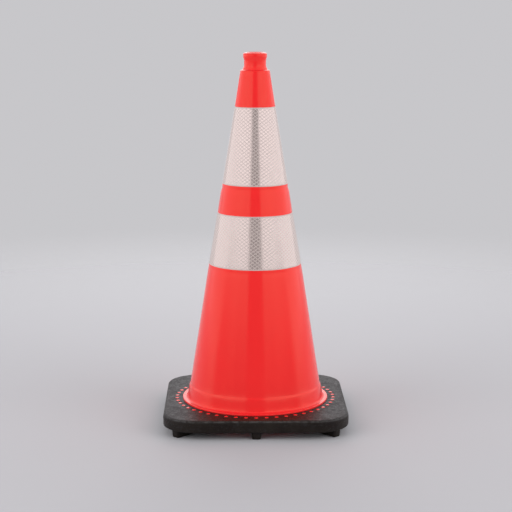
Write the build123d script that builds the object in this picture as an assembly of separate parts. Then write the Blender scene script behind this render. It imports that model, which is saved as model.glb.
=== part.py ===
"""Traffic cone, 28 inch class: an orange PVC cone moulded through a black square ballast base,
with a wide and a narrow white reflective collar.

Millimetres, +Z up, origin at the centre of the footprint on the ground.
Radii are measured from the vertical axis and heights from the ground.
"""

import os
from math import cos, hypot, pi, sin, sqrt

from build123d import *

# Overall size
HEIGHT = 711.2  # 28 in, the standard road cone
BASE_SIDE = 352.0  # the 14 in square base, a little under size as moulded

# Ballast base
BASE_CORNER_R = 64.0
BASE_BOTTOM_Z = 14.3  # the plate stands this high on its feet
BASE_TOP_Z = 37.5
BASE_TOP_ROUND = 5.5
BASE_BOTTOM_ROUND = 2.5
MOUTH_R = 135.4  # central hole that the cone is moulded through

# Feet: eight radial bars, one to each side and one to each corner
FOOT_COUNT = 8
FOOT_WIDTH = 18.6  # under the plate
FOOT_INSET = 5.2  # back from the plate's outline
FOOT_INNER_R = 158.0
FOOT_END_R = 4.8
FOOT_DRAFT = 4.2  # degrees, narrower towards the ground
FOOT_SOLE_ROUND = 2.0

# Locking ring and studs, part of the orange moulding
RING_R = 157.4
RING_T = 4.0
STUD_COUNT = 50
STUD_CIRCLE_R = 153.5
STUD_R = 3.6
STUD_PROUD = 0.5
STUD_EDGE = 0.3

# Flange that lies on the base
FLANGE_R = 142.4
FLANGE_T = 3.3
FLANGE_EDGE_ROUND = 1.2
FLANGE_FILLET = 4.0

# Cone wall
WALL = 3.2  # measured horizontally
SLEEVE_INNER_R = 132.8  # open bottom, inside the base
BORE_R = 15.0  # straight hole at the tip
BORE_BOTTOM_Z = 681.0

# Rim, neck and shoulder at the tip
RIM_R = 22.8
RIM_EDGE_Z = 708.9  # the rim's top face falls outwards
RIM_EDGE_ROUND = 1.2
RIM_LOW_Z = 702.4
BORE_EDGE_ROUND = 0.8
NECK_R = 21.05
NECK_TOP_Z, NECK_LOW_Z = 695.6, 685.2
FLARE_R, FLARE_Z = 24.3, 678.1
SHOULDER_R, SHOULDER_Z = 28.1, 677.1
SHOULDER_ROUND = 1.2

# Reflective collars, each a face film on a backing film, in shallow seats round the wall
FACE_T = 0.35
BACKING_T = 0.25
UPPER_TOP_Z, UPPER_TOP_R = 608.7, 38.8
UPPER_LOW_Z, UPPER_LOW_R = 461.4, 62.9
LOWER_TOP_Z, LOWER_TOP_R = 405.8, 72.6
LOWER_LOW_Z, LOWER_LOW_R = 305.8, 89.4
SEAM_LAP = 12.0  # each film laps itself by this much at the back

# Steps in the wall: a lip under each collar runs out to a chamfer
UPPER_LIP_Z, UPPER_LIP_R = 455.1, 63.3
UPPER_STEP_Z, UPPER_STEP_R = 445.0, 66.1
BAND_LOW_Z, BAND_LOW_R = 418.1, 70.4
LOWER_LIP_Z, LOWER_LIP_R = 299.7, 90.0
LOWER_STEP_Z, LOWER_STEP_R = 291.7, 91.6
SKIRT_TOP_Z, SKIRT_TOP_R = 68.1, 127.2
SKIRT_STEP_Z, SKIRT_STEP_R = 65.1, 129.0
SKIRT_ROUND = 7.0
SKIRT_LOW_R = 133.3

FILM_T = FACE_T + BACKING_T


def rounded_face(corners):
    """A closed face in the XZ plane through (radius, height, rounding) corners."""
    n = len(corners)
    runs = []
    for i, (x, z, f) in enumerate(corners):
        px, pz, _ = corners[i - 1]
        nx, nz, _ = corners[(i + 1) % n]
        if not f:
            runs.append([(x, z)])
            continue
        a, b = hypot(px - x, pz - z), hypot(nx - x, nz - z)
        ux, uz, vx, vz = (px - x) / a, (pz - z) / a, (nx - x) / b, (nz - z) / b
        half_cos = sqrt((1 + ux * vx + uz * vz) / 2)
        half_sin = sqrt(1 - half_cos**2)
        back = f * half_cos / half_sin
        mx, mz = ux + vx, uz + vz
        m = hypot(mx, mz)
        apex = f / half_sin - f
        runs.append(
            [
                (x + ux * back, z + uz * back),
                (x + mx / m * apex, z + mz / m * apex),
                (x + vx * back, z + vz * back),
            ]
        )
    edges = []
    for i, run in enumerate(runs):
        if len(run) == 3:
            edges.append(ThreePointArc(*[(x, 0, z) for x, z in run]))
        (x0, z0), (x1, z1) = run[-1], runs[(i + 1) % n][0]
        if hypot(x1 - x0, z1 - z0) > 1e-6:
            edges.append(Line((x0, 0, z0), (x1, 0, z1)))
    return Face(Wire(edges))


def turned(corners):
    """A solid of revolution about the vertical axis."""
    return revolve(rounded_face(corners), Axis.Z, 360)


def cone_body():
    """Wall, tip, flange, locking ring and studs: one orange moulding, open at both ends."""
    seat_up_t, seat_up_l = UPPER_TOP_R - FILM_T, UPPER_LOW_R - FILM_T
    seat_lo_t, seat_lo_l = LOWER_TOP_R - FILM_T, LOWER_LOW_R - FILM_T
    flange_z = BASE_TOP_Z + FLANGE_T
    outer = [
        (BORE_R + 1.2, HEIGHT, 0),
        (RIM_R, RIM_EDGE_Z, RIM_EDGE_ROUND),
        (RIM_R, RIM_LOW_Z, 0.8),
        (NECK_R, NECK_TOP_Z, 3.0),
        (NECK_R, NECK_LOW_Z, 7.0),
        (FLARE_R, FLARE_Z, 1.5),
        (SHOULDER_R, SHOULDER_Z, SHOULDER_ROUND),
        (UPPER_TOP_R, UPPER_TOP_Z, 0),
        (seat_up_t, UPPER_TOP_Z, 0),
        (seat_up_l, UPPER_LOW_Z, 0),
        (UPPER_LOW_R, UPPER_LOW_Z, 0),
        (UPPER_LIP_R, UPPER_LIP_Z, 4.0),
        (UPPER_STEP_R, UPPER_STEP_Z, 6.0),
        (BAND_LOW_R, BAND_LOW_Z, 3.0),
        (seat_lo_t, LOWER_TOP_Z, 0),
        (seat_lo_l, LOWER_LOW_Z, 0),
        (LOWER_LOW_R, LOWER_LOW_Z, 0),
        (LOWER_LIP_R, LOWER_LIP_Z, 4.0),
        (LOWER_STEP_R, LOWER_STEP_Z, 6.0),
        (SKIRT_TOP_R, SKIRT_TOP_Z, SKIRT_ROUND),
        (SKIRT_STEP_R, SKIRT_STEP_Z, SKIRT_ROUND),
        (SKIRT_LOW_R, flange_z, FLANGE_FILLET),
        (FLANGE_R, flange_z - 0.3, FLANGE_EDGE_ROUND),
        (FLANGE_R, BASE_TOP_Z, 0),
        (MOUTH_R, BASE_TOP_Z, 0),
        (MOUTH_R, BASE_BOTTOM_Z + RING_T, 0),
        (RING_R, BASE_BOTTOM_Z + RING_T, 0),
        (RING_R, BASE_BOTTOM_Z, 0),
    ]
    inner = [
        (SLEEVE_INNER_R, BASE_BOTTOM_Z, 0),
        (SKIRT_LOW_R - WALL, BASE_TOP_Z, 3.0),
        (SKIRT_STEP_R - WALL, SKIRT_STEP_Z - 3, 3.0),
        (SKIRT_TOP_R - WALL, SKIRT_TOP_Z, 3.0),
        (LOWER_STEP_R - WALL, LOWER_STEP_Z - 2, 6.0),
        (seat_lo_l - WALL, LOWER_LIP_Z, 6.0),
        (seat_lo_t - WALL, LOWER_TOP_Z, 6.0),
        (BAND_LOW_R - WALL - 0.6, BAND_LOW_Z, 6.0),
        (UPPER_STEP_R - WALL, UPPER_STEP_Z - 2, 6.0),
        (seat_up_l - WALL, UPPER_LIP_Z, 6.0),
        (SHOULDER_R - WALL, SHOULDER_Z - 4, 3.0),
        (BORE_R, BORE_BOTTOM_Z, 0),
        (BORE_R, HEIGHT, BORE_EDGE_ROUND),
    ]
    body = turned(outer + inner)
    top = BASE_TOP_Z + STUD_PROUD
    stud = turned(
        [
            (0, BASE_BOTTOM_Z + RING_T / 2, 0),
            (STUD_R, BASE_BOTTOM_Z + RING_T / 2, 0),
            (STUD_R, top - STUD_EDGE, 0),
            (STUD_R - STUD_EDGE, top, 0),
            (0, top, 0),
        ]
    )
    return body + [Pos(x, y, 0) * stud for x, y in stud_spots()]


def stud_spots():
    step = 2 * pi / STUD_COUNT
    return [
        (STUD_CIRCLE_R * cos((i + 0.5) * step), STUD_CIRCLE_R * sin((i + 0.5) * step))
        for i in range(STUD_COUNT)
    ]


def base():
    """Square ballast plate with a central mouth, a rebate for the ring and holes for the studs."""
    height = BASE_TOP_Z - BASE_BOTTOM_Z
    plate = Pos(0, 0, BASE_BOTTOM_Z) * extrude(RectangleRounded(BASE_SIDE, BASE_SIDE, BASE_CORNER_R), height)
    plate = fillet(plate.faces().sort_by(Axis.Z)[-1].edges(), BASE_TOP_ROUND)
    plate = fillet(plate.faces().sort_by(Axis.Z)[0].edges(), BASE_BOTTOM_ROUND)
    cuts = [
        Pos(0, 0, BASE_TOP_Z / 2) * Cylinder(MOUTH_R, BASE_TOP_Z * 2),
        Pos(0, 0, BASE_BOTTOM_Z + RING_T / 2 - 2) * Cylinder(RING_R, RING_T + 4),
    ]
    hole = Cylinder(STUD_R, 3 * height)
    cuts += [Pos(x, y, BASE_TOP_Z) * hole for x, y in stud_spots()]
    return plate - cuts


def foot(outer_r):
    """One radial bar lying along +X under the plate: rounded ends, draft and a rounded sole."""
    length = outer_r - FOOT_INNER_R
    middle = Pos(FOOT_INNER_R + length / 2, 0, BASE_BOTTOM_Z)
    outline = middle * RectangleRounded(length, FOOT_WIDTH, FOOT_END_R)
    bar = extrude(outline, BASE_BOTTOM_Z, dir=(0, 0, -1), taper=FOOT_DRAFT)
    return fillet(bar.faces().sort_by(Axis.Z)[0].edges(), FOOT_SOLE_ROUND)


def base_feet():
    """The bars that the plate stands on, moulded with it: short under the sides, long under the corners."""
    half = BASE_SIDE / 2
    corner_reach = (half - BASE_CORNER_R) * sqrt(2) + BASE_CORNER_R
    side_foot = foot(half - FOOT_INSET)
    corner_foot = foot(corner_reach - FOOT_INSET)
    step = 360 / FOOT_COUNT
    return Part() + [Rot(0, 0, k * step) * (corner_foot if k % 2 else side_foot) for k in range(FOOT_COUNT)]


def collar_layer(top_z, top_r, low_z, low_r, depth, thickness, lap):
    """A conical film whose outer face lies depth inside the collar's face; lap adds the overlap."""
    top, low = top_r - depth, low_r - depth
    film = turned(
        [
            (top, top_z, 0),
            (top - thickness, top_z, 0),
            (low - thickness, low_z, 0),
            (low, low_z, 0),
        ]
    )
    if lap:
        strip = turned(
            [
                (top + FILM_T, top_z, 0),
                (top - thickness / 2, top_z, 0),
                (low - thickness / 2, low_z, 0),
                (low + FILM_T, low_z, 0),
            ]
        )
        window = Pos(0, low_r / 2 + 20, (top_z + low_z) / 2) * Box(SEAM_LAP, low_r + 40, 2 * (top_z - low_z))
        film = film + (strip & window)
    return film


def build_all():
    upper = (UPPER_TOP_Z, UPPER_TOP_R, UPPER_LOW_Z, UPPER_LOW_R)
    lower = (LOWER_TOP_Z, LOWER_TOP_R, LOWER_LOW_Z, LOWER_LOW_R)
    return {
        "base": base(),
        "base_feet": base_feet(),
        "cone_body": cone_body(),
        "upper_collar_face": collar_layer(*upper, 0, FACE_T, True),
        "upper_collar_backing": collar_layer(*upper, FACE_T, BACKING_T, False),
        "lower_collar_face": collar_layer(*lower, 0, FACE_T, True),
        "lower_collar_backing": collar_layer(*lower, FACE_T, BACKING_T, False),
    }


if __name__ == "__main__":
    os.makedirs("parts", exist_ok=True)
    for name, piece in build_all().items():
        piece.label = name
        export_step(piece, f"parts/{name}.step")
        print(name, round(piece.volume), len(piece.solids()))
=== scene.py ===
"""Traffic cone, 28 inch class: the looks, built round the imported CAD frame.

Metres, +Z up, front of the square base towards -Y. Profiles are written in millimetres as
(radius, height, rounding) corners and scaled on the way in.
"""

import math

import bmesh
import bpy
from mathutils import Euler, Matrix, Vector, noise


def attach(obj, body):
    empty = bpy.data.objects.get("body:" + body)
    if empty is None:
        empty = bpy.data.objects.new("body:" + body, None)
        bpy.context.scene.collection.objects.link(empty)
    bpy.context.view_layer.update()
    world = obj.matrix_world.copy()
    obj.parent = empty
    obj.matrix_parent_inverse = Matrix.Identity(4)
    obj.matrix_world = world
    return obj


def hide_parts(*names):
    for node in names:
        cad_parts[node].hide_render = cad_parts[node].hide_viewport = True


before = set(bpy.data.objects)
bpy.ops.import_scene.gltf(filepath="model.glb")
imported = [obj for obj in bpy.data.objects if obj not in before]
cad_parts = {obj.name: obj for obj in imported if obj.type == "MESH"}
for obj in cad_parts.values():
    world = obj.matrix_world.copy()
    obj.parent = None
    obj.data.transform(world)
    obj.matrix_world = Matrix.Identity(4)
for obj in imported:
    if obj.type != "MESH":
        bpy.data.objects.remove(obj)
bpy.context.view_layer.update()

MM = 0.001
TAU = 2 * math.pi

# ---------------------------------------------------------------- sizes (mm), as in the CAD
# a collar is (top height, radius there, low height, radius there)
HEIGHT = 711.2
HALF_SIDE = 176.0
CORNER_R = 64.0
PLATE_LOW, PLATE_TOP = 14.3, 37.5
PLATE_TOP_ROUND, PLATE_LOW_ROUND = 5.5, 2.5
MOUTH_R = 135.4
RING_R, RING_T = 157.4, 4.0
STUD_CIRCLE_R, STUD_R, STUD_COUNT = 153.5, 3.6, 50
SKIRT_TOP_R, SKIRT_TOP_Z = 127.2, 68.1
SKIRT_STEP_R, SKIRT_STEP_Z = 129.0, 65.1
SKIRT_ROUND = 7.0
FLANGE_R = 142.4
FLANGE_TOP = PLATE_TOP + 3.3
RIM_R, BORE_R = 22.8, 15.0
FILM_T, FACE_T = 0.6, 0.35
UPPER = (608.7, 38.8, 461.4, 62.9)
LOWER = (405.8, 72.6, 305.8, 89.4)
FOOT_W, FOOT_INNER_R, FOOT_INSET = 18.6, 158.0, 5.2
FOOT_END_R, FOOT_DRAFT, FOOT_SOLE_ROUND = 4.8, 1.1, 2.0


# ---------------------------------------------------------------- mesh helpers
def rounded(corners, degrees_per_step=12.0):
    """Points round a closed outline of (r, z, rounding) corners."""
    out = []
    n = len(corners)
    for i, (x, z, f) in enumerate(corners):
        if not f:
            out.append((x, z))
            continue
        px, pz, _ = corners[i - 1]
        nx, nz, _ = corners[(i + 1) % n]
        u = Vector((px - x, pz - z)).normalized()
        v = Vector((nx - x, nz - z)).normalized()
        half = u.angle(v) / 2
        back = f / math.tan(half)
        centre = Vector((x, z)) + (u + v).normalized() * (f / math.sin(half))
        a = Vector((x, z)) + u * back - centre
        b = Vector((x, z)) + v * back - centre
        sweep = a.angle_signed(b)
        steps = max(2, int(math.degrees(abs(sweep)) / degrees_per_step) + 1)
        for k in range(steps + 1):
            t = -sweep * k / steps
            c, s = math.cos(t), math.sin(t)
            out.append((centre.x + a.x * c - a.y * s, centre.y + a.x * s + a.y * c))
    return out


def densified(points, longest):
    """The closed outline with no run longer than longest."""
    out = []
    for i, (x, z) in enumerate(points):
        nx, nz = points[(i + 1) % len(points)]
        out.append((x, z))
        cuts = int(math.hypot(nx - x, nz - z) / longest)
        for k in range(1, cuts + 1):
            t = k / (cuts + 1)
            out.append((x + (nx - x) * t, z + (nz - z) * t))
    return out


def mesh_object(name, verts, faces, sharp_deg=38.0):
    """A smooth-shaded object from millimetre points, with its normals made consistent."""
    mesh = bpy.data.meshes.new(name)
    mesh.from_pydata([(x * MM, y * MM, z * MM) for x, y, z in verts], [], faces)
    bm = bmesh.new()
    bm.from_mesh(mesh)
    bmesh.ops.remove_doubles(bm, verts=bm.verts, dist=1e-7)
    bmesh.ops.recalc_face_normals(bm, faces=bm.faces)
    bm.to_mesh(mesh)
    bm.free()
    mesh.shade_smooth()
    mesh.set_sharp_from_angle(angle=math.radians(sharp_deg))
    obj = bpy.data.objects.new(name, mesh)
    bpy.context.scene.collection.objects.link(obj)
    return obj


def looped(name, loops, sharp_deg=38.0):
    """A closed ring-shaped solid from loops of points; the last loop joins the first."""
    n = len(loops[0])
    verts = [p for loop in loops for p in loop]
    faces = []
    for i in range(len(loops)):
        a, b = i * n, ((i + 1) % len(loops)) * n
        for j in range(n):
            k = (j + 1) % n
            faces.append((a + j, a + k, b + k, b + j))
    return mesh_object(name, verts, faces, sharp_deg)


def turned(name, outline, segments, bend=None, sharp_deg=38.0):
    """An outline of (r, z) points turned about the vertical axis. bend(r, z, angle) -> (r, z)."""
    loops = []
    for r, z in outline:
        loop = []
        for j in range(segments):
            a = TAU * j / segments
            rr, zz = bend(r, z, a) if bend else (r, z)
            loop.append((rr * math.cos(a), rr * math.sin(a), zz))
        loops.append(loop)
    return looped(name, loops, sharp_deg)


def wobble(x, y, z, size, seed=0.0):
    """Smooth noise from -1 to 1 at a point in millimetres."""
    return noise.noise(Vector((x / size + seed, y / size - seed, z / size + 2 * seed)))


# ---------------------------------------------------------------- materials
class Nodes:
    """A short way to write a procedural material."""

    def __init__(self, name):
        self.mat = bpy.data.materials.new(name)
        self.mat.use_nodes = True
        self.tree = self.mat.node_tree
        self.shader = self.tree.nodes["Principled BSDF"]
        self.where = self.make("ShaderNodeTexCoord").outputs["Object"]

    def make(self, kind, **settings):
        node = self.tree.nodes.new(kind)
        for key, value in settings.items():
            setattr(node, key, value)
        return node

    def link(self, a, b):
        self.tree.links.new(a, b)

    def put(self, socket, value):
        if isinstance(value, bpy.types.NodeSocket):
            self.link(value, socket)
        else:
            socket.default_value = value

    def math(self, op, a, b=0.0, c=0.0, clamp=False):
        node = self.make("ShaderNodeMath", operation=op, use_clamp=clamp)
        for socket, value in zip(node.inputs, (a, b, c)):
            self.put(socket, value)
        return node.outputs[0]

    def noise(self, scale, detail=3.0, rough=0.5, where=None, stretch=None):
        vector = where or self.where
        if stretch:
            m = self.make("ShaderNodeMapping")
            self.link(vector, m.inputs["Vector"])
            m.inputs["Scale"].default_value = stretch
            vector = m.outputs[0]
        node = self.make("ShaderNodeTexNoise")
        self.link(vector, node.inputs["Vector"])
        node.inputs["Scale"].default_value = scale
        node.inputs["Detail"].default_value = detail
        node.inputs["Roughness"].default_value = rough
        return node.outputs["Fac"]

    def smooth(self, value, low, high, out_low=0.0, out_high=1.0):
        node = self.make("ShaderNodeMapRange", interpolation_type="SMOOTHSTEP")
        settings = (("Value", value), ("From Min", low), ("From Max", high),
                    ("To Min", out_low), ("To Max", out_high))
        for key, v in settings:
            self.put(node.inputs[key], v)
        return node.outputs["Result"]

    def mix(self, factor, a, b):
        node = self.make("ShaderNodeMix", data_type="RGBA")
        self.put(node.inputs["Factor"], factor)
        for key, v in (("A", a), ("B", b)):
            sockets = [s for s in node.inputs if s.name == key and s.type == "RGBA"]
            self.put(sockets[0], v)
        return [s for s in node.outputs if s.type == "RGBA"][0]

    def axes(self):
        node = self.make("ShaderNodeSeparateXYZ")
        self.link(self.where, node.inputs[0])
        return node.outputs

    def bump(self, height, distance, strength=1.0, normal=None):
        node = self.make("ShaderNodeBump")
        node.inputs["Strength"].default_value = strength
        node.inputs["Distance"].default_value = distance
        self.link(height, node.inputs["Height"])
        if normal:
            self.link(normal, node.inputs["Normal"])
        return node.outputs[0]

    def shade(self, **inputs):
        for key, value in inputs.items():
            self.put(self.shader.inputs[key.replace("_", " ")], value)
        return self.mat


def orange_pvc():
    """Glossy orange PVC, moulded in colour, with a faint cloudiness."""
    n = Nodes("orange_pvc")
    y = n.axes()[1]
    flow = n.noise(7.0, 3.0, 0.55, stretch=(1.0, 1.0, 0.12))
    cloud = n.noise(16.0, 4.0, 0.6)
    colour = n.mix(n.smooth(flow, 0.35, 0.65), (0.855, 0.0172, 0.0218, 1), (0.880, 0.0200, 0.0230, 1))
    colour = n.mix(n.smooth(cloud, 0.3, 0.7, 0.0, 0.35), colour, (0.895, 0.0225, 0.0245, 1))
    rough = n.smooth(n.noise(60.0, 5.0, 0.65), 0.3, 0.7, 0.13, 0.17)
    # orange peel of the mould, flow waves, and the mould's fine parting line on both sides
    peel = n.bump(n.noise(420.0, 2.0, 0.5), 0.00003, 0.35)
    waves = n.bump(n.noise(30.0, 2.0, 0.4, stretch=(1.0, 1.0, 0.25)), 0.0006, 0.12, peel)
    seam = n.smooth(n.math("ABSOLUTE", y), 0.0, 0.0007, 1.0, 0.0)
    normal = n.bump(seam, 0.0004, 0.5, waves)
    return n.shade(Base_Color=colour, Roughness=rough, Normal=normal, Specular_Tint=(1.0, 0.98, 0.62, 1))


def black_ballast():
    """Rough recycled black vinyl: mottled and speckled, with a painted pale highlight along the plate's
    rounded top edge.
    """
    n = Nodes("black_ballast")
    z = n.axes()[2]
    swirl = n.noise(22.0, 5.0, 0.62)
    patch = n.noise(95.0, 4.0, 0.65)
    speckle = n.noise(330.0, 3.0, 0.65)
    colour = n.mix(n.smooth(swirl, 0.35, 0.7), (0.0100, 0.0072, 0.0036, 1), (0.0165, 0.0130, 0.0080, 1))
    colour = n.mix(n.smooth(patch, 0.54, 0.70, 0.0, 0.6), colour, (0.022, 0.0200, 0.0180, 1))
    colour = n.mix(n.smooth(speckle, 0.60, 0.70, 0.0, 0.6), colour, (0.045, 0.044, 0.043, 1))
    # painted highlight: a pale band, broken into patches by noise, on the rounded top edge where it would
    # catch the light
    edge_highlight_band = n.math("MULTIPLY",
                      n.smooth(z, 33.0 * MM, 35.5 * MM),
                      n.smooth(z, 36.6 * MM, 37.3 * MM, 1.0, 0.0))
    painted_edge_highlight = n.math("MULTIPLY", edge_highlight_band, n.smooth(n.noise(150.0, 4.0, 0.7), 0.38, 0.62, 0.15, 0.9))
    colour = n.mix(painted_edge_highlight, colour, (0.055, 0.052, 0.048, 1))
    mottle = n.math("ADD", n.math("MULTIPLY", patch, 0.6), n.math("MULTIPLY", speckle, 0.7))
    rough = n.smooth(mottle, 0.45, 0.85, 0.36, 0.62)
    soft = n.bump(n.noise(45.0, 3.0, 0.5), 0.0006, 0.12)
    pitted = n.bump(n.smooth(n.noise(160.0, 4.0, 0.65), 0.30, 0.65), 0.0008, 0.30, soft)
    normal = n.bump(n.noise(900.0, 3.0, 0.6), 0.00016, 0.4, pitted)
    return n.shade(Base_Color=colour, Roughness=rough, Normal=normal, Specular_IOR_Level=0.21,
                   Specular_Tint=(0.78, 0.73, 1.0, 1))


def prismatic_film(name, cone):
    """White microprismatic film: a lattice of white seal lines round mirror-like cells.

    The lattice is laid out on the flat cut of the collar, so it turns a little round the cone."""
    top_z, top_r, low_z, low_r = cone
    slope = (low_r - top_r) / (top_z - low_z)
    sine = math.sin(math.atan(slope))
    n = Nodes(name)
    x, y, z = n.axes()
    turn = n.math("MULTIPLY", n.math("ARCTAN2", x, n.math("MULTIPLY", y, -1.0)), sine)
    radius = n.math("SQRT", n.math("ADD", n.math("POWER", x, 2.0), n.math("POWER", y, 2.0)))
    reach = n.math("DIVIDE", radius, sine)
    turn = n.math("ADD", turn, math.radians(3.1))
    across = n.math("DIVIDE", n.math("MULTIPLY", reach, n.math("SINE", turn)), 0.00900)
    down = n.math("DIVIDE", n.math("MULTIPLY", reach, n.math("COSINE", turn)), 0.00685)
    one, two = n.math("ADD", across, down), n.math("SUBTRACT", across, down)
    lines = []
    for lane in (one, two):
        off = n.math("ABSOLUTE", n.math("SUBTRACT", n.math("FRACT", n.math("ADD", lane, 100.0)), 0.5))
        lines.append(n.smooth(off, 0.355, 0.415))
    seal = n.math("MAXIMUM", lines[0], lines[1])
    edge = n.math("MAXIMUM",
                  n.smooth(z, (top_z - 2.1) * MM, (top_z - 1.7) * MM),
                  n.smooth(z, (low_z + 1.7) * MM, (low_z + 2.1) * MM, 1.0, 0.0))
    white = n.math("MAXIMUM", seal, edge)
    cell_id = n.make("ShaderNodeCombineXYZ")
    n.link(n.math("FLOOR", n.math("ADD", one, 100.0)), cell_id.inputs[0])
    n.link(n.math("FLOOR", n.math("ADD", two, 100.0)), cell_id.inputs[1])
    per_cell = n.make("ShaderNodeTexWhiteNoise", noise_dimensions="2D")
    n.link(cell_id.outputs[0], per_cell.inputs["Vector"])
    tint = n.mix(per_cell.outputs["Value"], (0.765, 0.631, 0.594, 1), (0.781, 0.645, 0.607, 1))
    band = n.smooth(n.noise(30.0, 3.0, 0.5), 0.35, 0.65)
    tint = n.mix(n.math("MULTIPLY", band, 0.5), tint, (0.773, 0.642, 0.599, 1))
    colour = n.mix(white, tint, (0.530, 0.445, 0.420, 1))
    metal = n.smooth(white, 0.0, 1.0, 0.77, 0.1)
    rough = n.smooth(white, 0.0, 1.0, 0.18, 0.3)
    dome = n.bump(n.math("SUBTRACT", 1.0, white), 0.00010, 0.1)
    normal = n.bump(n.noise(14.0, 3.0, 0.5), 0.0007, 0.12, dome)
    return n.shade(Base_Color=colour, Roughness=rough, Metallic=metal, Normal=normal)


def white_backing():
    """Matt white backing film of the collars."""
    n = Nodes("white_backing")
    colour = n.mix(n.noise(120.0, 3.0, 0.6), (0.78, 0.775, 0.76, 1), (0.86, 0.855, 0.84, 1))
    return n.shade(Base_Color=colour, Roughness=0.55, Normal=n.bump(n.noise(900.0), 0.0001, 0.3))


def studio_floor():
    """Plain pale floor that fades into the background well away from the cone."""
    n = Nodes("studio_floor")
    x, y = n.axes()[:2]
    away = n.math("SQRT", n.math("ADD", n.math("POWER", x, 2.0), n.math("POWER", y, 2.0)))
    return n.shade(Base_Color=(0.47, 0.466, 0.482, 1), Roughness=0.9, Specular_IOR_Level=0.1,
                   Alpha=n.smooth(away, 0.7, 2.5, 1.0, 0.0))


def dress(obj, mat):
    """One material for the mesh, and the body the piece rides on."""
    obj.data.materials.clear()
    obj.data.materials.append(mat)
    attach(obj, "root")
    return obj


# ---------------------------------------------------------------- the cone moulding
def body_outline():
    """Section of the moulding as (r, z, rounding): down the outside, under the base, up the inside."""
    ut_z, ut_r, ul_z, ul_r = UPPER
    lt_z, lt_r, ll_z, ll_r = LOWER
    outer = [
        (16.2, HEIGHT, 1.0), (RIM_R, 708.9, 1.2), (RIM_R, 702.4, 0.8), (21.05, 695.6, 3.0),
        (21.05, 685.2, 7.0), (24.3, 678.1, 1.5), (28.1, 677.1, 1.2),
        (ut_r, ut_z, 0.15), (ut_r - FILM_T, ut_z, 0.15), (ul_r - FILM_T, ul_z, 0.15), (ul_r, ul_z, 0.3),
        (63.3, 455.1, 4.0), (66.1, 445.0, 6.0), (70.4, 418.1, 3.0),
        (lt_r - FILM_T, lt_z, 0), (ll_r - FILM_T, ll_z, 0.15), (ll_r, ll_z, 0.3),
        (90.0, 299.7, 4.0), (91.6, 291.7, 6.0),
        (SKIRT_TOP_R, SKIRT_TOP_Z, SKIRT_ROUND), (SKIRT_STEP_R, SKIRT_STEP_Z, SKIRT_ROUND),
        (133.3, FLANGE_TOP, 4.0),
        (FLANGE_R, FLANGE_TOP - 0.3, 1.2), (FLANGE_R, PLATE_TOP, 0),
        (MOUTH_R, PLATE_TOP, 0), (MOUTH_R, PLATE_LOW + RING_T, 0),
        (RING_R, PLATE_LOW + RING_T, 0), (RING_R, PLATE_LOW, 0.4),
    ]
    inner = [
        (132.8, PLATE_LOW, 0.6), (130.1, PLATE_TOP, 3.0), (125.8, 62.1, 3.0), (124.0, SKIRT_TOP_Z, 3.0),
        (88.4, 289.7, 6.0), (85.6, 299.7, 6.0), (68.8, lt_z, 6.0), (66.6, 418.1, 6.0),
        (62.9, 443.0, 6.0), (59.1, 455.1, 6.0), (24.9, 673.1, 3.0), (BORE_R, 681.0, 0.8),
        (BORE_R, HEIGHT, 0.6),
    ]
    return outer + inner


def body_bend(r, z, a):
    """Thin PVC is never quite round: a slow wave down the wall, none at the fitted edges."""
    if r > 135.0 or z < 45.0 or z > 672.0:
        return r, z
    fade = min(1.0, (z - 45.0) / 60.0, (672.0 - z) / 60.0)
    c, s = math.cos(a), math.sin(a)
    return r + 0.16 * fade * wobble(c * 90, s * 90, z * 0.35, 60.0, 3.7), z


orange = orange_pvc()
outline = densified(rounded(body_outline()), 9.0)
cone_shell = turned("cone_shell", outline, 288, body_bend)
dress(cone_shell, orange)
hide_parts("cone_body")


def stud_field():
    """Heads of the locking studs where the moulding comes up through the base."""
    verts, faces = [], []
    rings = [(1.0, -3.0), (1.0, 0.15), (0.98, 0.30), (0.92, 0.42), (0.76, 0.48), (0.40, 0.50)]
    sides = 28
    for i in range(STUD_COUNT):
        a = TAU * (i + 0.5) / STUD_COUNT
        cx, cy = STUD_CIRCLE_R * math.cos(a), STUD_CIRCLE_R * math.sin(a)
        grow = 1.0 + 0.04 * noise.noise(Vector((i * 1.7, 0.3, 0.9)))
        lift = 0.06 * noise.noise(Vector((0.4, i * 2.3, 0.1)))
        first = len(verts)
        for k, (share, up) in enumerate(rings):
            for j in range(sides):
                b = TAU * j / sides
                r = STUD_R * share * grow * (1.0 + 0.015 * math.sin(3 * b + i))
                z = PLATE_TOP + up + (lift if k else 0)
                verts.append((cx + r * math.cos(b), cy + r * math.sin(b), z))
        verts.append((cx, cy, PLATE_TOP + 0.51 + lift))
        verts.append((cx, cy, PLATE_TOP - 3.0))
        tip, root = len(verts) - 2, len(verts) - 1
        for k in range(len(rings) - 1):
            for j in range(sides):
                p, q = first + k * sides + j, first + k * sides + (j + 1) % sides
                faces.append((p, q, q + sides, p + sides))
        last = first + (len(rings) - 1) * sides
        for j in range(sides):
            faces.append((last + j, last + (j + 1) % sides, tip))
            faces.append((first + (j + 1) % sides, first + j, root))
    return mesh_object("lock_studs", verts, faces, 50.0)


studs = dress(stud_field(), orange)
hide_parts("cone_body")


# ---------------------------------------------------------------- the ballast base
def square_reach(a, inset):
    """Distance from the axis to the plate's outline, moved in by inset, in direction a."""
    half, rc = HALF_SIDE - inset, CORNER_R - inset
    c, s = abs(math.cos(a)), abs(math.sin(a))
    straight = half / max(c, s)
    k = half - rc
    if min(c, s) * straight <= k:
        return straight
    b = k * (c + s)
    return b + math.sqrt(max(0.0, b * b - 2 * k * k + rc * rc))


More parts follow.
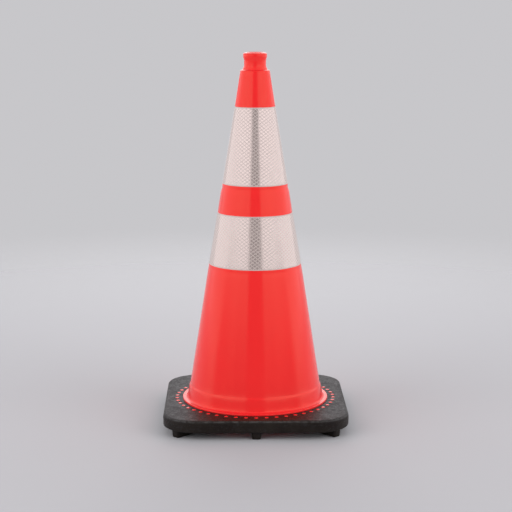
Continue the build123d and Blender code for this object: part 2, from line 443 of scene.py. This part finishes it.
def plate():
    """The ballast plate, as loops over the top from the mouth outwards, down the side and back under."""
    segments = 400
    spans = 22
    top_round, low_round = PLATE_TOP_ROUND, PLATE_LOW_ROUND

    def ring_loop(kind, value, z, lumps=0.0):
        loop = []
        for j in range(segments):
            a = TAU * j / segments
            if kind == "round":
                r = value
            elif kind == "square":
                r = square_reach(a, value)
            else:
                r = MOUTH_R + (square_reach(a, top_round) - MOUTH_R) * value
            x, y = r * math.cos(a), r * math.sin(a)
            up = lumps * (0.6 * wobble(x, y, z, 55.0, 1.3) + 0.4 * wobble(x, y, z, 18.0, 6.1))
            loop.append((x, y, z + up))
        return loop

    loops = [ring_loop("round", MOUTH_R, PLATE_TOP)]
    for k in range(1, spans):
        share = k / spans
        lumps = 0.16 * min(1.0, max(0.0, share - 0.25) * 4) * min(1.0, (1 - share) * 5)
        loops.append(ring_loop("between", share, PLATE_TOP, lumps))
    for k in range(7):
        t = math.pi / 2 * k / 6
        z = PLATE_TOP - top_round * (1 - math.cos(t))
        loops.append(ring_loop("square", top_round * (1 - math.sin(t)), z))
    # the mould's parting line runs round the side as a low bead
    bead = ((29.6, 0.0), (29.0, 0.0), (28.8, 0.22), (28.4, 0.30), (28.0, 0.22), (27.8, 0.0), (27.2, 0.0))
    for z, proud in bead:
        loops.append(ring_loop("square", -proud, z))
    for k in range(6):
        t = math.pi / 2 * k / 5
        z = PLATE_LOW + low_round * (1 - math.sin(t))
        loops.append(ring_loop("square", low_round * (1 - math.cos(t)), z))
    loops += [ring_loop("round", RING_R + 0.2, PLATE_LOW), ring_loop("round", RING_R, PLATE_LOW + 0.2),
              ring_loop("round", RING_R, PLATE_LOW + RING_T), ring_loop("round", MOUTH_R, PLATE_LOW + RING_T)]
    return looped("base_plate", loops, 40.0)


def foot_bar(outer_r, a):
    """One radial bar: rounded ends, a little draft and a rounded sole. Loops run from top to sole."""
    half_w, end_r, per_corner = FOOT_W / 2, FOOT_END_R, 6
    mid, half_l = (FOOT_INNER_R + outer_r) / 2, (outer_r - FOOT_INNER_R) / 2
    levels = [(0.0, PLATE_LOW + 2.0), (0.0, PLATE_LOW)]
    levels += [(FOOT_DRAFT * k / 4, PLATE_LOW + (FOOT_SOLE_ROUND - PLATE_LOW) * k / 4) for k in range(1, 5)]
    for k in range(1, 6):
        t = math.pi / 2 * k / 5
        levels.append((FOOT_DRAFT + FOOT_SOLE_ROUND * (1 - math.cos(t)), FOOT_SOLE_ROUND * (1 - math.sin(t))))
    levels += [(levels[-1][0] + 1.2, 0.0)]
    verts, faces = [], []
    for inset, z in levels:
        r = max(end_r - inset, 0.3)
        for corner in range(4):
            sx, sy = (1, 1, -1, -1)[corner], (-1, 1, 1, -1)[corner]
            cx, cy = sx * (half_l - inset - r), sy * (half_w - inset - r)
            for k in range(per_corner + 1):
                t = math.pi / 2 * (corner - 1 + k / per_corner)
                x, y = mid + cx + r * math.cos(t), cy + r * math.sin(t)
                verts.append((x * math.cos(a) - y * math.sin(a), x * math.sin(a) + y * math.cos(a), z))
    n = 4 * (per_corner + 1)
    for i in range(len(levels) - 1):
        for j in range(n):
            k = (j + 1) % n
            faces.append((i * n + j, i * n + k, (i + 1) * n + k, (i + 1) * n + j))
    faces.append(tuple(range(n)))
    faces.append(tuple(reversed(range((len(levels) - 1) * n, len(levels) * n))))
    return verts, faces


def feet():
    """Eight radial feet: four to the middles of the sides and four to the corners."""
    verts, faces = [], []
    corner_reach = (HALF_SIDE - CORNER_R) * math.sqrt(2) + CORNER_R
    for k in range(8):
        reach = (HALF_SIDE if k % 2 == 0 else corner_reach) - FOOT_INSET
        v, f = foot_bar(reach, TAU * k / 8)
        first = len(verts)
        verts += v
        faces += [tuple(i + first for i in face) for face in f]
    return mesh_object("foot_blocks", verts, faces, 45.0)


ballast = black_ballast()
base_plate = dress(plate(), ballast)
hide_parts("base")
foot_blocks = dress(feet(), ballast)
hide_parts("base_feet")


# ---------------------------------------------------------------- reflective collars
def film(name, cone, depth, thickness, lap=12.0, columns=420, rows=28):
    """One film of a collar, wrapped once round the cone and over its own end at the back.

    Its outer face lies depth inside the collar's cone. The edges are not quite straight."""
    top_z, top_r, low_z, low_r = cone
    mid = (top_r + low_r) / 2
    lap_angle = lap / mid
    ramp = 5.0 / mid
    start, sweep = math.pi / 2 - lap_angle / 2, TAU + lap_angle
    verts = []
    for j in range(columns + 1):
        t = sweep * j / columns
        a = start + t
        lift = 0.0
        if t > TAU - ramp:
            q = min(1.0, (t - TAU + ramp) / ramp)
            lift = (FILM_T + 0.04) * q * q * (3 - 2 * q)
        for i in range(rows + 1):
            s = i / rows
            z = top_z + (low_z - top_z) * s
            r = top_r + (low_r - top_r) * s - depth + lift
            c, d = math.cos(a), math.sin(a)
            edge = wobble(c * 40, d * 40, 0, 14.0, 5.0 if i == 0 else 8.0) * 0.18 if i in (0, rows) else 0.0
            ease = 0.05 * wobble(c * 60, d * 60, z * 0.5, 22.0, 2.2)
            inward = min(0.04, thickness / 4) if i in (0, rows) else 0.0
            verts.append(((r + ease - inward) * c, (r + ease - inward) * d, z + edge))
            verts.append(((r + ease - thickness) * c, (r + ease - thickness) * d, z + edge))
    faces = []
    step = 2 * (rows + 1)
    for j in range(columns):
        for i in range(rows):
            p, q = j * step + 2 * i, (j + 1) * step + 2 * i
            faces.append((p, q, q + 2, p + 2))
            faces.append((p + 1, p + 3, q + 3, q + 1))
        p, q = j * step, (j + 1) * step
        faces.append((p, p + 1, q + 1, q))
        p, q = p + 2 * rows, q + 2 * rows
        faces.append((p, q, q + 1, p + 1))
    for j in (0, columns):
        for i in range(rows):
            p = j * step + 2 * i
            faces.append((p, p + 2, p + 3, p + 1))
    return mesh_object(name, verts, faces, 35.0)


backing_mat = white_backing()
for tag, cone in (("upper", UPPER), ("lower", LOWER)):
    face = film(f"{tag}_collar_film", cone, 0.0, FACE_T)
    dress(face, prismatic_film(f"{tag}_prismatic", cone))
    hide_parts(f"{tag}_collar_face")
    back = film(f"{tag}_collar_back", cone, FACE_T, FILM_T - FACE_T)
    dress(back, backing_mat)
    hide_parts(f"{tag}_collar_backing")


# ---------------------------------------------------------------- studio
def panel(name, corners, mat):
    """One flat face of the studio, in metres."""
    mesh = bpy.data.meshes.new(name)
    mesh.from_pydata(corners, [], [tuple(range(len(corners)))])
    obj = bpy.data.objects.new(name, mesh)
    bpy.context.scene.collection.objects.link(obj)
    mesh.materials.append(mat)
    return obj


def softbox(name, azimuth, distance, centre_z, width, height, radiance, colour=(1, 1, 1)):
    """A rectangular light facing the cone. Azimuth 0 is behind the camera, 90 to its right."""
    data = bpy.data.lights.new(name, "AREA")
    data.shape, data.size, data.size_y = "RECTANGLE", width, height
    data.energy = radiance * math.pi * width * height
    data.color = colour
    obj = bpy.data.objects.new(name, data)
    bpy.context.scene.collection.objects.link(obj)
    a = math.radians(azimuth)
    obj.location = (distance * math.sin(a), -distance * math.cos(a), centre_z)
    aim = Vector((0, 0, 0.35)) - obj.location
    obj.rotation_euler = aim.to_track_quat("-Z", "Y").to_euler()
    obj.visible_camera = False
    return obj


panel("studio_floor", [(-8, -8, 0), (8, -8, 0), (8, 8, 0), (-8, 8, 0)], studio_floor())


def standing(azimuth, distance, offset, z):
    """A point on a wall that stands square to the cone, offset along the wall from its middle."""
    a = math.radians(azimuth)
    return (distance * math.sin(a) + offset * math.cos(a), -distance * math.cos(a) + offset * math.sin(a), z)


def flag(name, azimuth, distance, half_width, low, high, grey):
    """An upright dark cloth that the camera doesn't see."""
    mat = Nodes(name).shade(Base_Color=(grey, grey, grey, 1), Roughness=1.0)
    corners = [standing(azimuth, distance, o, z)
               for o, z in ((-half_width, low), (half_width, low), (half_width, high), (-half_width, high))]
    panel(name, corners, mat).visible_camera = False


def tent(radiance, tint=(1.0, 0.99, 1.018, 1), segments=32):
    """A glowing dome all round, in the reflections but not in the picture.

    It is dimmer low down in front and overhead, and starts higher behind the cone."""
    verts = []
    hoops = ((4.0, 0.0, 0.9), (4.0, 2.4, 2.4), (3.0, 3.8, 3.8), (1.4, 4.5, 4.5))
    for r, low, low_behind in hoops:
        for j in range(segments):
            a = TAU * j / segments
            verts.append((r * math.cos(a), r * math.sin(a), low_behind if math.sin(a) > 0.6 else low))
    faces = [tuple(range(len(verts) - segments, len(verts)))]
    for p in range(len(verts) - segments):
        q = p + 1 if (p + 1) % segments else p + 1 - segments
        faces.append((p, q, q + segments, p + segments))
    n = Nodes("tent")
    x, y, z = n.axes()
    up_or_behind = n.math("ADD", z, n.smooth(y, -1.5, 1.0, 0.0, 1.7))
    low = n.smooth(up_or_behind, 0.04, 1.0, 0.13, 1.0)
    roof = n.smooth(z, 3.2, 4.3, 1.0, 0.35)
    strength = n.math("MULTIPLY", n.math("MULTIPLY", low, roof), radiance)
    mat = n.shade(Base_Color=(0, 0, 0, 1), Emission_Color=tint, Emission_Strength=strength)
    obj = mesh_object("tent", [(x / MM, y / MM, z / MM) for x, y, z in verts], faces)
    obj.data.materials.append(mat)
    obj.visible_camera = False


# an even white tent, brighter low down behind, with a dark gap round the camera
tent(1.10)
softbox("back_wall", 180.0, 2.6, 1.45, 1.5, 2.9, 0.65)
for azimuth in (-60, 60, 180):
    softbox(f"fill_{azimuth}", azimuth, 2.9, 1.2, 2.4, 2.1, 2.4).visible_glossy = False
for side in (-1, 1):
    softbox(f"low_side_{side}", side * 140, 2.8, 0.35, 1.6, 0.7, 0.14)
flag("flag_front", 0.0, 3.0, 0.88, 0.0, 3.8, 0.2)

world = bpy.data.worlds.new("studio")
world.use_nodes = True
world.node_tree.nodes["Background"].inputs["Color"].default_value = (0.575, 0.57, 0.59, 1)
bpy.context.scene.world = world
bpy.context.scene.view_settings.view_transform = "Standard"

cam_data = bpy.data.cameras.new("camera")
cam_data.sensor_width = 36.0
cam_data.lens = 101.74
camera = bpy.data.objects.new("camera", cam_data)
bpy.context.scene.collection.objects.link(camera)
camera.location = (-0.0416, -2.77, 0.801)
camera.rotation_euler = Euler((math.radians(90 - 9.879), 0, math.radians(-0.898)), "XYZ")
bpy.context.scene.camera = camera

bpy.context.view_layer.update()
